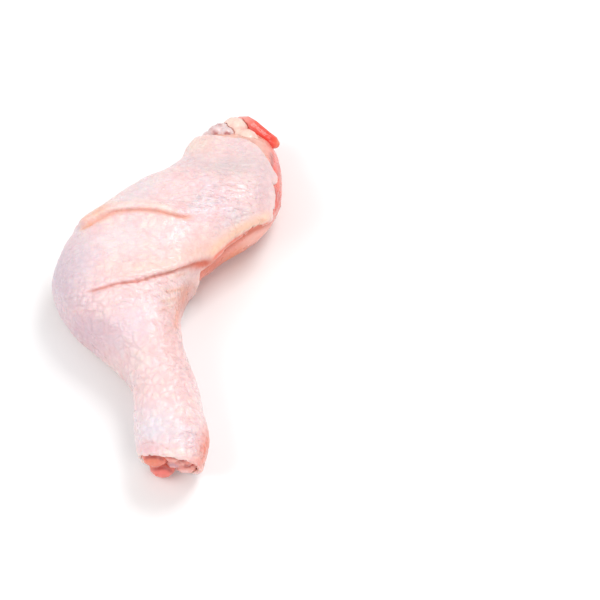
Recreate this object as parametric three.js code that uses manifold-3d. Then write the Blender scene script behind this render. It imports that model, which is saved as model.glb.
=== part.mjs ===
// A raw chicken leg quarter, lying skin side up with its knee bent.
//
// Millimetres, +Z up, resting on the floor at z = 0, with the origin below the middle of the leg.
// The knee is at -X, the hip at +Y, and the hock, where the foot was cut off, at -Y.
//
// The leg is lofted between two rails, seen from above. The outer rail follows the hip, the knee and
// the front of the shin. The inner rail follows the thigh's cut side, the back of the knee and the calf.
// The skin wraps the flesh, and is cut away at the hip, along the thigh's inner side, below the thigh
// and at the hock. The thigh bone shows at the hip and the shank bone at the hock.
import * as THREE from "three";
import { LoftGeometry } from "three/addons/geometries/LoftGeometry.js";
import { ImprovedNoise } from "three/addons/math/ImprovedNoise.js";
import { mergeVertices } from "three/addons/utils/BufferGeometryUtils.js";
import Module from "manifold-3d";

const wasm = await Module();
wasm.setup();

// Driving dimensions.
const SKIN = 1.8; // the skin with the fat below it
const GAP = 0.3; // between pieces that touch
const FAR = 120; // past the leg on every side
const WELD = 1e-4; // corners closer than this are one
const PRESS = 1.5; // how much of the underside is pressed flat
const WAIST = { outer: 0.42, inner: 0.5 }; // shares of the height at which each side is widest
const OUTER_ROUND = 0.84; // 0.5 is boxy, 1 is an ellipse
const CROWN_ROUND = 0.92;
const BELLY_ROUND = { outer: 0.6, inner: 0.85 };
const HOCK_LEAN = 0.38; // the hock's cut leans, so that its top reaches further than its foot
const HOCK_LEANS_FROM = 0.85; // the share of the leg's length where the sections start to lean with it
const HOCK_TURN = -0.23; // the cut also turns a little about Z
const HOCK_END = -91.4; // where the cut meets the floor at x = 0
const FLESH_BACK = 1.4; // how far the flesh stays back from the skin's edge at the hock
const SWELL = { size: 17, height: 0.8 }; // slow unevenness of the flesh

// Stations along the leg: a point on each rail, the leg's height, how round its inner side is,
// and how far the cross section bows towards the hock in its middle.
const STATIONS = [
  { outer: [21.5, 90.5], inner: [42, 86], height: 20, round: 0.85, bow: -2 }, // hip end
  { outer: [11, 83.5], inner: [50, 77], height: 27, round: 0.75, bow: -2 },
  { outer: [4.8, 75.5], inner: [53, 66], height: 33, round: 0.65, bow: -1 },
  { outer: [3, 65], inner: [54, 53], height: 37, round: 0.6, bow: 0 },
  { outer: [-7, 53], inner: [52.5, 40], height: 40, round: 0.58, bow: 0 },
  { outer: [-20, 45], inner: [47.5, 29], height: 42, round: 0.58, bow: 0 },
  { outer: [-30.5, 35], inner: [40, 22], height: 42, round: 0.6, bow: 1 },
  { outer: [-39, 24], inner: [32, 16.5], height: 42, round: 0.62, bow: 1 }, // fold across the thigh
  { outer: [-46, 13], inner: [26.5, 11], height: 41, round: 0.66, bow: 1 },
  { outer: [-49.5, 2], inner: [23, 6.5], height: 40, round: 0.7, bow: 2 }, // knee
  { outer: [-50, -9], inner: [19.5, 3], height: 40, round: 0.75, bow: 4 },
  { outer: [-46, -20], inner: [15.5, -1.5], height: 40, round: 0.8, bow: 6 }, // crease behind the knee
  { outer: [-38.5, -30], inner: [11.5, -7.5], height: 40, round: 0.84, bow: 6 },
  { outer: [-29.5, -38.5], inner: [8.5, -16], height: 39, round: 0.84, bow: 4 }, // calf
  { outer: [-21, -46.5], inner: [7.5, -27], height: 37, round: 0.84, bow: 2 },
  { outer: [-14, -55.5], inner: [9, -39], height: 34, round: 0.84, bow: 1 },
  { outer: [-10.5, -66.5], inner: [13.5, -53], height: 31, round: 0.84, bow: 0 },
  { outer: [-10, -78], inner: [17.5, -67], height: 30, round: 0.84, bow: 0 }, // shank
  { outer: [-8.8, -87], inner: [21, -79], height: 29, round: 0.84, bow: 0 },
  { outer: [-6.3, -94], inner: [21.6, -88], height: 28, round: 0.84, bow: 0 },
  { outer: [-3, -104], inner: [16.5, -104], height: 26, round: 0.84, bow: 0 }, // hock end
];

// Folds in the skin, seen from above. Left of the line the skin rises to a lip, which hangs over it.
// A fold fades over a share of its length at each end.
const FOLDS = [
  {
    // A loose fold of skin across the thigh.
    line: [[-52, 15], [-43, 16], [-34, 16.5], [-24, 17.5], [-13, 17], [0, 15.5], [9, 13], [19, 14.5]],
    rise: 2.1,
    dip: 0.9,
    lip: 2.5,
    back: 6,
    lean: 1.2,
    fade: { left: 0.15, right: 0.3 },
  },
  {
    // The thigh's skin where it overhangs the drumstick, behind the knee.
    line: [[-40, -26], [-28, -24.5], [-15, -22.5], [-3, -17.5], [7, -10.5], [13, -4.5], [19, 2]],
    rise: 1.9,
    dip: 1.4,
    lip: 2.3,
    back: 12,
    lean: 1.8,
    fade: { left: 0.6, right: 0.15 },
  },
];
const FOLD_FACES = { none: 0.15, full: 0.7 }; // how far up the skin faces where a fold is gone, and where full
const CREASE = 0.6; // a fold's crease against its lip's width
const GROOVE = 1.6; // the flesh's groove below a crease against the lip's width
// Where the cross sections lie close together, by station, for the folds.
const DENSE = [{ station: 7.6, reach: 0.9 }, { station: 11.7, reach: 0.9 }];
const DENSITY = 3.2;

// The skin's edge from above: over the hip, and down the thigh's inner side to the back of the knee.
const SKIN_EDGE = [
  [-4, 87], [7, 81], [12, 77.5], [16, 74.5], [21, 72], [28, 70.5], [33, 70], [37, 68], [40, 64.5],
  [42.5, 60], [45, 55.5], [47, 51], [49.5, 47.5], [49, 44.5], [47, 41.5], [48.5, 37.5], [48.5, 34],
  [47, 31.5], [47.5, 29.5], [45.5, 27.2], [41.5, 25], [36.5, 21.2], [32, 17.4], [28.8, 13.4], [24.8, 8.7],
  [21.2, 4.7], [30, -8],
];
// The flesh lies bare on the floor below the thigh, up to a share of the leg's length, and across it
// from a share of the half width on the outer side.
const BARE_BELOW = { length: 0.42, across: 0.32 };
// It is also bare along the thigh's inner side, up to a height, from a share of the leg's width.
const BARE_SIDE = { length: 0.5, across: 0.62, height: 21.5 };

// Rounded lumps, each with its middle, its radii and its turn about Z in degrees.
const HIP_BONE_LUMPS = [
  { at: [23, 81.5, 23.5], radii: [5.8, 6, 5.4], turn: 0 },
  { at: [17.2, 79.5, 22.5], radii: [4, 4, 4], turn: 0 },
  { at: [20.5, 80.5, 26], radii: [4, 3.8, 3.4], turn: 20 },
  { at: [25.5, 79, 26.8], radii: [3.6, 3.4, 3], turn: 0 },
];
const HOCK_BONE_LUMPS = [
  { at: [-0.2, -95.3, 15.3], radii: [5.9, 5.4, 5.2], turn: 5 },
  { at: [2.2, -94, 5.2], radii: [5.8, 5.4, 4.8], turn: -10 },
];
const HIP_FAT_LUMPS = [
  { at: [29, 84.5, 22.5], radii: [6.6, 7.5, 6.6], turn: 0 },
  { at: [35, 78, 23], radii: [7, 5.5, 5.5], turn: -45 },
  { at: [41.5, 70.5, 22.5], radii: [9, 4.2, 5], turn: -60 },
];
const SINEW_LUMPS = [
  { at: [7.5, -95, 20], radii: [5, 7, 3.8], turn: 0 },
  { at: [7.5, -93, 12.5], radii: [4.4, 6.6, 5], turn: 0 },
  { at: [12.8, -94, 15.5], radii: [4.4, 7, 4.6], turn: 0 },
  { at: [12.2, -92, 7.5], radii: [6.4, 6.6, 5.4], turn: 0 },
];
// The red muscle that curls over the hip: points along it, each with its radius.
const HIP_MUSCLE = [
  { at: [26.5, 91, 16.5], radius: 3.4 },
  { at: [33.5, 90.5, 20.5], radius: 4.8 },
  { at: [39, 86.5, 20], radius: 4.4 },
  { at: [44, 83, 18.5], radius: 4 },
  { at: [50, 82, 15.5], radius: 3.4 },
];
// The bones run from where they show to the knee.
const THIGH_BONE = { end: [22, 79, 21], knee: [-24, 12, 20], thick: 4, head: 6 };
const SHANK_BONE = { end: [1.5, -93, 10], knee: [-15, -16, 20], thick: 3.8, head: 5.6 };
const BONE_HEAD = { length: 0.16, blunt: 0.4 }; // share of the bone that a head takes, and 1 is a pointed end
const MUSCLE_END = { width: 0.35, blunt: 6 }; // its width against the roll's, and 2 is a round end

const noise = new ImprovedNoise();
const { lerp, smoothstep, degToRad } = THREE.MathUtils;
const vector = ([x, y, z = 0]) => new THREE.Vector3(x, y, z);
const curve = (points) => new THREE.CatmullRomCurve3(points.map(vector));
const power = (value, exponent) => Math.sign(value) * Math.abs(value) ** exponent;
const bell = (distance, width) => Math.exp(-((distance / width) ** 2));

const outerRail = curve(STATIONS.map(({ outer }) => outer));
const innerRail = curve(STATIONS.map(({ inner }) => inner));
const profile = curve(STATIONS.map(({ height, round, bow }) => [height, round, bow]));
const folds = FOLDS.map((fold) => ({ ...fold, trace: traceFold(fold) }));

/** The points of a fold's line, close together, each with its direction and the fold's strength there. */
function traceFold({ line, fade }) {
  const count = 80;
  const points = curve(line).getSpacedPoints(count);
  return points.map((point, i) => {
    const along = points[Math.min(i + 1, count)].clone().sub(points[Math.max(i - 1, 0)]).normalize();
    const share = i / count;
    const strength = smoothstep(share, 0, fade.left) * smoothstep(1 - share, 0, fade.right);
    return { point, along, strength };
  });
}

/** A closed mesh as a solid that can be joined and cut. */
function solid(geometry) {
  const bare = new THREE.BufferGeometry();
  bare.setAttribute("position", geometry.getAttribute("position"));
  bare.setIndex(geometry.getIndex());
  const merged = mergeVertices(bare, WELD);
  return new wasm.Manifold(
    new wasm.Mesh({
      numProp: 3,
      vertProperties: new Float32Array(merged.attributes.position.array),
      triVerts: new Uint32Array(merged.index.array),
    }),
  );
}

/** A solid as a named mesh. */
function piece(name, shape, material) {
  const { vertProperties, triVerts } = shape.getMesh();
  const geometry = new THREE.BufferGeometry();
  geometry.setAttribute("position", new THREE.BufferAttribute(vertProperties, 3));
  geometry.setIndex(new THREE.BufferAttribute(triVerts, 1));
  geometry.computeVertexNormals();
  const mesh = new THREE.Mesh(geometry, material);
  mesh.name = name;
  return mesh;
}

/** Several solids as one. */
const join = (shapes) => shapes.reduce((whole, shape) => whole.add(shape));

/** How far the folds lift the skin at a point seen from above, and how far their lips lean there. */
function foldAt(x, y) {
  let lift = 0;
  const lean = new THREE.Vector3();
  for (const { trace, rise, dip, lip, back, lean: overhang } of folds) {
    let nearest = trace[0];
    let least = Infinity;
    for (const candidate of trace) {
      const distance = Math.hypot(x - candidate.point.x, y - candidate.point.y);
      if (distance < least) {
        least = distance;
        nearest = candidate;
      }
    }
    const { point, along, strength } = nearest;
    const left = along.x * (y - point.y) - along.y * (x - point.x) > 0;
    const fromLip = (left ? least : -least) - lip;
    const crest = bell(fromLip, fromLip > 0 ? back : lip);
    lift += strength * (rise * crest - dip * bell(least, lip * CREASE));
    lean.addScaledVector(vector([along.y, -along.x]), strength ** 2 * overhang * bell(fromLip, lip));
  }
  return { lift, lean };
}

/** How far the folds press the flesh in, wide enough to stay below the skin's grooves. */
function grooveAt(x, y) {
  let depth = 0;
  for (const { trace, dip, lip } of folds) {
    for (const { point, strength } of trace) {
      const distance = Math.hypot(x - point.x, y - point.y);
      depth = Math.max(depth, strength * dip * bell(distance, lip * GROOVE));
    }
  }
  return depth;
}

/** One cross section of the leg, smaller by inset on every side but where the flesh lies bare on the floor. */
function section(share, around, inset) {
  const outer = outerRail.getPoint(share);
  const inner = innerRail.getPoint(share);
  const { x: height, y: innerRound, z: bow } = profile.getPoint(share);
  const middle = outer.clone().add(inner).multiplyScalar(0.5);
  const across = outer.clone().sub(inner);
  const half = across.length() / 2 - inset;
  across.normalize();
  const towardsHock = new THREE.Vector3(-across.y, across.x, 0);
  const pressed = Math.max(inset - SKIN, 0) - PRESS;
  const hock = smoothstep(share, HOCK_LEANS_FROM, 1);
  const points = [];
  for (let i = 0; i < around; i++) {
    const angle = (-2 * Math.PI * i) / around;
    const cosine = Math.cos(angle);
    const sine = Math.sin(angle);
    const facing = cosine > 0 ? "outer" : "inner";
    const waist = height * WAIST[facing];
    const side = power(cosine, facing === "outer" ? OUTER_ROUND : innerRound);
    const lying = inset === 0 || (cosine < BARE_BELOW.across && share < BARE_BELOW.length);
    const bottom = lying ? pressed : inset;
    const top = waist + (height - inset - waist) * Math.max(sine, 0) ** CROWN_ROUND;
    const foot = waist - (waist - bottom) * Math.max(-sine, 0) ** BELLY_ROUND[facing];
    const z = sine > 0 ? top : foot;
    const point = middle.clone().addScaledVector(across, side * half);
    point.addScaledVector(towardsHock, bow * (1 - side * side));
    points.push(point.setZ(z).setY(point.y - hock * HOCK_LEAN * z));
  }
  return points;
}

/** The sections with their points moved along the surface's normal, for folds and slow unevenness. */
function creased(sections, inset) {
  const rings = sections.length;
  const around = sections[0].length;
  return sections.map((ring, i) =>
    ring.map((point, j) => {
      const along = sections[Math.min(i + 1, rings - 1)][j].clone().sub(sections[Math.max(i - 1, 0)][j]);
      const about = ring[(j + 1) % around].clone().sub(ring[(j + around - 1) % around]);
      const normal = about.cross(along).normalize();
      const upward = smoothstep(normal.z, FOLD_FACES.none, FOLD_FACES.full);
      const { size, height } = SWELL;
      const swell = height * noise.noise(point.x / size, point.y / size, point.z / size);
      if (inset > 0) {
        return point.clone().addScaledVector(normal, swell - upward * grooveAt(point.x, point.y));
      }
      const { lift, lean } = foldAt(point.x, point.y);
      return point.clone().addScaledVector(normal, upward * lift + swell).addScaledVector(lean, upward);
    }),
  );
}

/** Where the sections lie along the leg, closer together by the folds. */
function spacing(rings, density) {
  const fine = 400;
  const sums = [0];
  for (let i = 0; i < fine; i++) {
    const station = ((i + 0.5) / fine) * (STATIONS.length - 1);
    const extra = DENSE.reduce((sum, place) => sum + bell(station - place.station, place.reach), 0);
    sums.push(sums[i] + 1 + (density - 1) * extra);
  }
  const shares = [];
  for (let ring = 0, i = 0; ring <= rings; ring++) {
    const wanted = (sums[fine] * ring) / rings;
    while (i < fine - 1 && sums[i + 1] < wanted) i++;
    shares.push((i + (wanted - sums[i]) / (sums[i + 1] - sums[i])) / fine);
  }
  return shares;
}

/** The leg's form, smaller by inset on every side. */
function form({ rings, around, inset = 0, density = 1 }) {
  const sections = spacing(rings, density).map((share) => section(share, around, inset));
  return solid(new LoftGeometry(creased(sections, inset), { capStart: true, capEnd: true }));
}

/** An outline seen from above as an upright solid between two heights. */
function upright(outline, low, high) {
  const shape = new THREE.Shape(outline.map(([x, y]) => new THREE.Vector2(x, y)));
  const geometry = new THREE.ExtrudeGeometry(shape, { depth: high - low, bevelEnabled: false });
  return solid(geometry.translate(0, 0, low));
}

/** A line from the hip down the thigh, closed round all that lies beyond it. */
function beyond(line) {
  return [...line, [FAR, line.at(-1)[1]], [FAR, FAR], [line[0][0], FAR]];
}

/** Rounded lumps joined into one solid, larger by grow on every side. */
function lumps(list, grow) {
  return join(
    list.map(({ at, radii, turn }) => {
      const geometry = new THREE.SphereGeometry(1, 11, 7);
      geometry.rotateX(Math.PI / 2).scale(...radii.map((radius) => radius + grow));
      return solid(geometry.rotateZ(degToRad(turn)).translate(...at));
    }),
  );
}

/** A bone's shaft with its rounded ends, larger by grow on every side. */
function shaft({ end, knee, thick, head }, grow) {
  const start = vector(end);
  const axis = vector(knee).sub(start);
  const length = axis.length();
  const steps = 10;
  const outline = [];
  for (let i = 0; i <= steps; i++) {
    const angle = (Math.PI * i) / steps;
    const share = (1 - Math.cos(angle)) / 2;
    const swollen = bell(share, BONE_HEAD.length) + bell(1 - share, BONE_HEAD.length);
    const radius = thick + (head - thick) * swollen + grow;
    const rounded = i % steps === 0 ? 0 : radius * Math.sin(angle) ** BONE_HEAD.blunt;
    outline.push(new THREE.Vector2(rounded, lerp(-grow, length + grow, share)));
  }
  const geometry = new THREE.LatheGeometry(outline, 9);
  const turn = new THREE.Quaternion().setFromUnitVectors(vector([0, 1, 0]), axis.normalize());
  return solid(geometry.applyQuaternion(turn).translate(...end));
}

/** A roll of muscle through points that each have a radius, larger by grow on every side. */
function roll(points, grow) {
  const path = curve(points.map(({ at }) => at));
  const radii = curve(points.map(({ radius }) => [radius, 0]));
  const steps = 10;
  const around = 10;
  const { normals, binormals } = path.computeFrenetFrames(steps, false);
  const sections = [];
  for (let i = 0; i <= steps; i++) {
    const share = i / steps;
    const end = Math.sqrt(Math.max(0, 1 - Math.abs(2 * share - 1) ** MUSCLE_END.blunt));
    const radius = radii.getPoint(share).x * lerp(MUSCLE_END.width, 1, end) + grow;
    const ring = [];
    for (let j = 0; j < around; j++) {
      const angle = (2 * Math.PI * j) / around;
      const point = path.getPoint(share).addScaledVector(normals[i], radius * Math.cos(angle));
      ring.push(point.addScaledVector(binormals[i], radius * Math.sin(angle)));
    }
    sections.push(ring);
  }
  return solid(new LoftGeometry(sections, { capStart: true, capEnd: true }));
}

/** The space along the thigh's inner side where the flesh is bare. */
function bareSide() {
  const { length, across, height } = BARE_SIDE;
  const outline = [];
  const steps = 12;
  for (let i = 0; i <= steps; i++) {
    const share = (length * i) / steps;
    const { x, y } = outerRail.getPoint(share).lerp(innerRail.getPoint(share), across);
    outline.push([x, y]);
  }
  return upright(beyond(outline), -FAR, height);
}

const floor = solid(new THREE.BoxGeometry(4 * FAR, 4 * FAR, FAR).translate(0, 0, -FAR / 2));
const beyondEdge = upright(beyond(SKIN_EDGE), -FAR, FAR);

const whole = form({ rings: 78, around: 44, density: DENSITY }).subtract(floor);
const hollow = form({ rings: 34, around: 20, inset: SKIN });
const core = form({ rings: 34, around: 20, inset: SKIN + GAP }).subtract(floor);

const thighBone = (grow) => join([shaft(THIGH_BONE, grow), lumps(HIP_BONE_LUMPS, grow)]);
const shankBone = (grow) => join([shaft(SHANK_BONE, grow), lumps(HOCK_BONE_LUMPS, grow)]);
const hipFat = (grow) => lumps(HIP_FAT_LUMPS, grow);
const hipMuscle = (grow) => roll(HIP_MUSCLE, grow);
const sinew = (grow) => lumps(SINEW_LUMPS, grow);
const inlays = join([thighBone(GAP), shankBone(GAP), hipFat(GAP), hipMuscle(GAP), sinew(GAP)]);

/** The space past the hock's cut, which leans, moved back into the leg by a distance. */
function pastHock(back) {
  const block = new THREE.BoxGeometry(2 * FAR, FAR, 2 * FAR).translate(0, -FAR / 2, 0);
  return solid(block.rotateX(HOCK_LEAN).rotateZ(HOCK_TURN).translate(0, HOCK_END + back, 0));
}

const shell = whole.subtract(hollow).subtract(beyondEdge).subtract(bareSide());
const pieces = {
  skin: { shape: shell.subtract(pastHock(0)).subtract(inlays), color: 0xf2cfc6, roughness: 0.4 },
  flesh: { shape: core.subtract(pastHock(FLESH_BACK)).subtract(inlays), color: 0xd9776a, roughness: 0.35 },
  thigh_bone: { shape: thighBone(0), color: 0xd9c4c4, roughness: 0.4 },
  shank_bone: { shape: shankBone(0).subtract(floor), color: 0xe58d7f, roughness: 0.4 },
  hip_fat: { shape: hipFat(0).subtract(thighBone(GAP)), color: 0xf3dcc0, roughness: 0.4 },
  hip_muscle: {
    shape: hipMuscle(0).subtract(thighBone(GAP)).subtract(hipFat(GAP)),
    color: 0xd94f45,
    roughness: 0.3,
  },
  sinew: { shape: sinew(0).subtract(shankBone(GAP)), color: 0xf1b9ae, roughness: 0.35 },
};

const leg = new THREE.Group();
for (const [name, { shape, color, roughness }] of Object.entries(pieces)) {
  leg.add(piece(name, shape, new THREE.MeshStandardMaterial({ color, roughness })));
}
const { x: middleX, y: middleY } = new THREE.Box3().setFromObject(leg).getCenter(new THREE.Vector3());
leg.position.set(-middleX, -middleY, 0);

export default leg;
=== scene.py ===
"""Dresses the raw chicken leg quarter for the camera.

Lengths are in millimetres unless a name says otherwise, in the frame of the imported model. Creases and
patches of colour are placed as the camera sees them, in pixels of a picture 600 pixels wide and high.
"""

from __future__ import annotations

import logging
import math
from abc import ABC, abstractmethod
from dataclasses import dataclass, field
from enum import Enum
from typing import Iterable

import bmesh
import bpy
import numpy as np
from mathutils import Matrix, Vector, noise
from mathutils.bvhtree import BVHTree
from mathutils.kdtree import KDTree

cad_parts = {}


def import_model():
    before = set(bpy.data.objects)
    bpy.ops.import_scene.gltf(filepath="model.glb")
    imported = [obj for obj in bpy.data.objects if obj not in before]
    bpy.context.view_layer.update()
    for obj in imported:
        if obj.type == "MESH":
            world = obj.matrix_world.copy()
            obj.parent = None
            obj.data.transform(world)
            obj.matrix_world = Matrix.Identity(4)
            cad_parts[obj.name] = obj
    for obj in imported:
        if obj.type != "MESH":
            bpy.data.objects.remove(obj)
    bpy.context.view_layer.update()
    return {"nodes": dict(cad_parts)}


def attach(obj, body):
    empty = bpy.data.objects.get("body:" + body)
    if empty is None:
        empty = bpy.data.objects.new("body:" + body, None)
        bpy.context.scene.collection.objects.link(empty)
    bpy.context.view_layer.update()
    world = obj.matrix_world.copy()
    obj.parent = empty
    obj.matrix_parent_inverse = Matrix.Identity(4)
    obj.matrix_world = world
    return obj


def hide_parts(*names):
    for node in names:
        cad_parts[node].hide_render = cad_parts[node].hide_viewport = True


Array = np.ndarray
Color = tuple[float, float, float]
Pixel = tuple[float, float]

MM = 0.001
TINT = "tint"
CREPE = "crepe"
FINE = 3.0  # how many finer layers a material's noise has
COARSE = 2.0
UNSHRINK = 1.04  # how much of each round of smoothing is given back
LOG = logging.getLogger("leg_quarter")


class Slot(Enum):
    """The record's material slots."""

    SKIN = "skin"
    FLESH = "flesh"
    HIP_BONE = "hip_bone"
    HOCK_BONE = "hock_bone"
    FAT = "fat"
    RED_MEAT = "red_meat"
    SINEW = "sinew"


class Seed(Enum):
    """Where each pattern starts in the noise."""

    WARP_ACROSS = 3.1
    WARP_ALONG = 7.7
    WARP_UP = 12.3
    TILES = 1.7
    WRINKLES = 20.3
    FINER_WRINKLES = 26.0
    BULGES = 5.0
    EDGE_LUMPS = 71.0
    CREAM = 31.0
    LAVENDER = 44.0
    ROSE = 52.0
    LUMPS = 8.0
    SMALL_LUMPS = 9.0
    SECOND_COLOR = 60.0


WARPS = (Seed.WARP_ACROSS, Seed.WARP_ALONG, Seed.WARP_UP)


def ramp(values: Array, low: float, high: float) -> Array:
    """Values eased from 0 at low to 1 at high."""
    share = np.clip((values - low) / (high - low), 0.0, 1.0)
    return share * share * (3.0 - 2.0 * share)


def bell(distance: Array, width: float) -> Array:
    """1 at no distance, falling off over a width."""
    return np.exp(-((distance / width) ** 2))


def seen(red: float, green: float, blue: float) -> Color:
    """The base colour of a surface that looks like a colour, of 0 to 255, under the studio's lights.

    Args:
        red: How red it looks.
        green: How green it looks.
        blue: How blue it looks.

    Returns:
        The base colour, linear, with 1 for all the light given back.
    """
    light = 1.16
    parts = [value / 255.0 for value in (red, green, blue)]
    linear = [part / 12.92 if part <= 0.04045 else ((part + 0.055) / 1.055) ** 2.4 for part in parts]
    return tuple(part / light for part in linear)


def waves(points: Array, size: float, seed: Seed) -> Array:
    """Smooth noise from about -1 to 1 at each point, with swells of a size."""
    places = (points / size + seed.value).tolist()
    return np.array([noise.noise(place) for place in places])


def walls(points: Array, size: float, seed: Seed) -> Array:
    """How far each point is from the wall of its cell, as a share of the cells' size."""
    found = [noise.voronoi(place)[0] for place in (points / size + seed.value).tolist()]
    return np.array([distances[1] - distances[0] for distances in found])


@dataclass(frozen=True)
class View:
    """The camera: where it stands, what it aims at, and its focal length in pixels."""

    target: tuple[float, float, float] = (59.35, 4.85, 0.0)
    eye: tuple[float, float, float] = (59.35, -530.05, 660.6)
    focal: float = 1870.0
    picture: int = 600
    sensor: float = 36.0

    def axes(self) -> tuple[Array, Array, Array]:
        """The directions to the right, up and away in the picture.

        Returns:
            Three directions of length 1, in the model's frame.
        """
        away = np.subtract(self.target, self.eye)
        away = away / np.linalg.norm(away)
        right = np.cross(away, (0.0, 0.0, 1.0))
        right = right / np.linalg.norm(right)
        return right, np.cross(right, away), away

    def pixels(self, points: Array) -> Array:
        """Where the camera sees each point.

        Args:
            points: Points, one a row.

        Returns:
            Their places in the picture, across and down from its upper left corner.
        """
        right, up, away = self.axes()
        offset = points - np.array(self.eye)
        depth = offset @ away
        middle = self.picture / 2
        across = middle + self.focal * (offset @ right) / depth
        down = middle - self.focal * (offset @ up) / depth
        return np.column_stack([across, down])

    def facing(self, points: Array, normals: Array) -> Array:
        """How squarely each point faces the camera: 1 is straight at it, and below 0 is away.

        Args:
            points: Points, one a row.
            normals: The directions out of the surface there.

        Returns:
            One value a point.
        """
        towards = np.array(self.eye) - points
        towards /= np.linalg.norm(towards, axis=1, keepdims=True)
        return np.einsum("ij,ij->i", normals, towards)

    def camera(self) -> bpy.types.Object:
        """The camera as an object of the scene.

        Returns:
            The camera.
        """
        data = bpy.data.cameras.new("camera")
        data.sensor_width = self.sensor
        data.lens = self.focal * self.sensor / self.picture
        data.clip_end = 10.0
        camera = bpy.data.objects.new("camera", data)
        bpy.context.scene.collection.objects.link(camera)
        away = Vector(self.axes()[2])
        camera.location = Vector(self.eye) * MM
        camera.rotation_euler = away.to_track_quat("-Z", "Y").to_euler()
        bpy.context.scene.camera = camera
        return camera


VIEW = View()


@dataclass(frozen=True)
class Line:
    """A smooth line in the picture, from left to right or from top to bottom."""

    points: tuple[Pixel, ...]

    def rounded(self) -> Array:
        """Points close together along a smooth curve through the line's points.

        Returns:
            The points, one a row.
        """
        given = np.array(self.points, dtype=float)
        if len(given) < 3:
            return given
        padded = np.vstack([2 * given[0] - given[1], given, 2 * given[-1] - given[-2]])
        steps = np.linspace(0.0, 1.0, 5)[:-1, None]
        parts = []
        for i in range(len(given) - 1):
            before, start, end, after = padded[i : i + 4]
            slope_in, slope_out = (end - before) / 2, (after - start) / 2
            cubic = 2 * steps**3 - 3 * steps**2
            rise_in, rise_out = steps**3 - 2 * steps**2 + steps, steps**3 - steps**2
            parts.append((1 + cubic) * start - cubic * end + rise_in * slope_in + rise_out * slope_out)
        return np.vstack([*parts, given[-1:]])

    def measure(self, pixels: Array) -> tuple[Array, Array, Array]:
        """How pixels lie to the line.

        Args:
            pixels: Places in the picture, one a row.

        Returns:
            The distance to the line, the same with a minus below or right of it, and the share of the
            line's length at the nearest place.
        """
        track = self.rounded()
        lengths = np.linalg.norm(np.diff(track, axis=0), axis=1)
        starts = np.concatenate([[0.0], np.cumsum(lengths)])
        least = np.full(len(pixels), np.inf)
        signed = np.zeros(len(pixels))
        share = np.zeros(len(pixels))
        for i, (start, end) in enumerate(zip(track[:-1], track[1:])):
            along = (end - start) / lengths[i]
            offset = pixels - start
            reach = np.clip(offset @ along, 0.0, lengths[i])
            distance = np.linalg.norm(offset - reach[:, None] * along, axis=1)
            closer = distance < least
            least[closer] = distance[closer]
            side = along[1] * offset[:, 0] - along[0] * offset[:, 1]
            signed[closer] = np.where(side >= 0, distance, -distance)[closer]
            share[closer] = (starts[i] + reach[closer]) / starts[-1]
        return least, signed, share


@dataclass(frozen=True)
class Crease:
    """A crease: a groove along a line, with a soft lip above it and a swelling below."""

    points: tuple[Pixel, ...]
    depth: float = 0.32
    width: float = 1.1  # pixels
    lip: float = 0.12
    lip_width: float = 2.4  # pixels
    stain: Color | None = None
    stain_strength: float = 0.0
    stain_width: float = 2.0  # pixels
    ends: float = 0.25  # share of the length over which it fades

    def parts(self, pixels: Array) -> tuple[Array, Array]:
        """The height that the crease adds at each place, and how strongly it stains it.

        Args:
            pixels: Places in the picture, one a row.

        Returns:
            The heights, and the strengths from 0 to 1.
        """
        distance, signed, share = Line(self.points).measure(pixels)
        strength = ramp(share, 0.0, self.ends) * ramp(1.0 - share, 0.0, self.ends)
        reach = self.lip_width
        raised = bell(signed - reach, reach * 0.8) + 0.5 * bell(signed + reach, reach * 0.8)
        height = self.lip * raised - self.depth * bell(distance, self.width)
        return strength * height, strength * self.stain_strength * bell(distance, self.stain_width)


@dataclass(frozen=True)
class Area:
    """A soft oval area of the picture."""

    at: Pixel
    radii: Pixel
    strength: float = 1.0
    turn: float = 0.0  # degrees, clockwise in the picture

    def strength_at(self, pixels: Array) -> Array:
        """How strongly each place belongs to the area.

        Args:
            pixels: Places in the picture, one a row.

        Returns:
            Strengths, from 0 far away to the area's own in its middle.
        """
        offset = pixels - np.array(self.at)
        turn = math.radians(self.turn)
        along = offset[:, 0] * math.cos(turn) + offset[:, 1] * math.sin(turn)
        across = offset[:, 1] * math.cos(turn) - offset[:, 0] * math.sin(turn)
        return self.strength * np.exp(-((along / self.radii[0]) ** 2) - (across / self.radii[1]) ** 2)


@dataclass(frozen=True)
class Patch:
    """A soft oval patch of colour in the picture."""

    at: Pixel
    radii: Pixel
    color: Color
    strength: float = 1.0
    turn: float = 0.0  # degrees, clockwise in the picture

    def strength_at(self, pixels: Array) -> Array:
        """How strongly the patch colours each place."""
        return Area(self.at, self.radii, self.strength, self.turn).strength_at(pixels)


def blend(colors: Array, color: Color, strength: Array) -> Array:
    """Colours mixed towards one colour by a strength at each point."""
    share = np.clip(strength, 0.0, 1.0)[:, None]
    return colors * (1.0 - share) + np.array(color) * share


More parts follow.
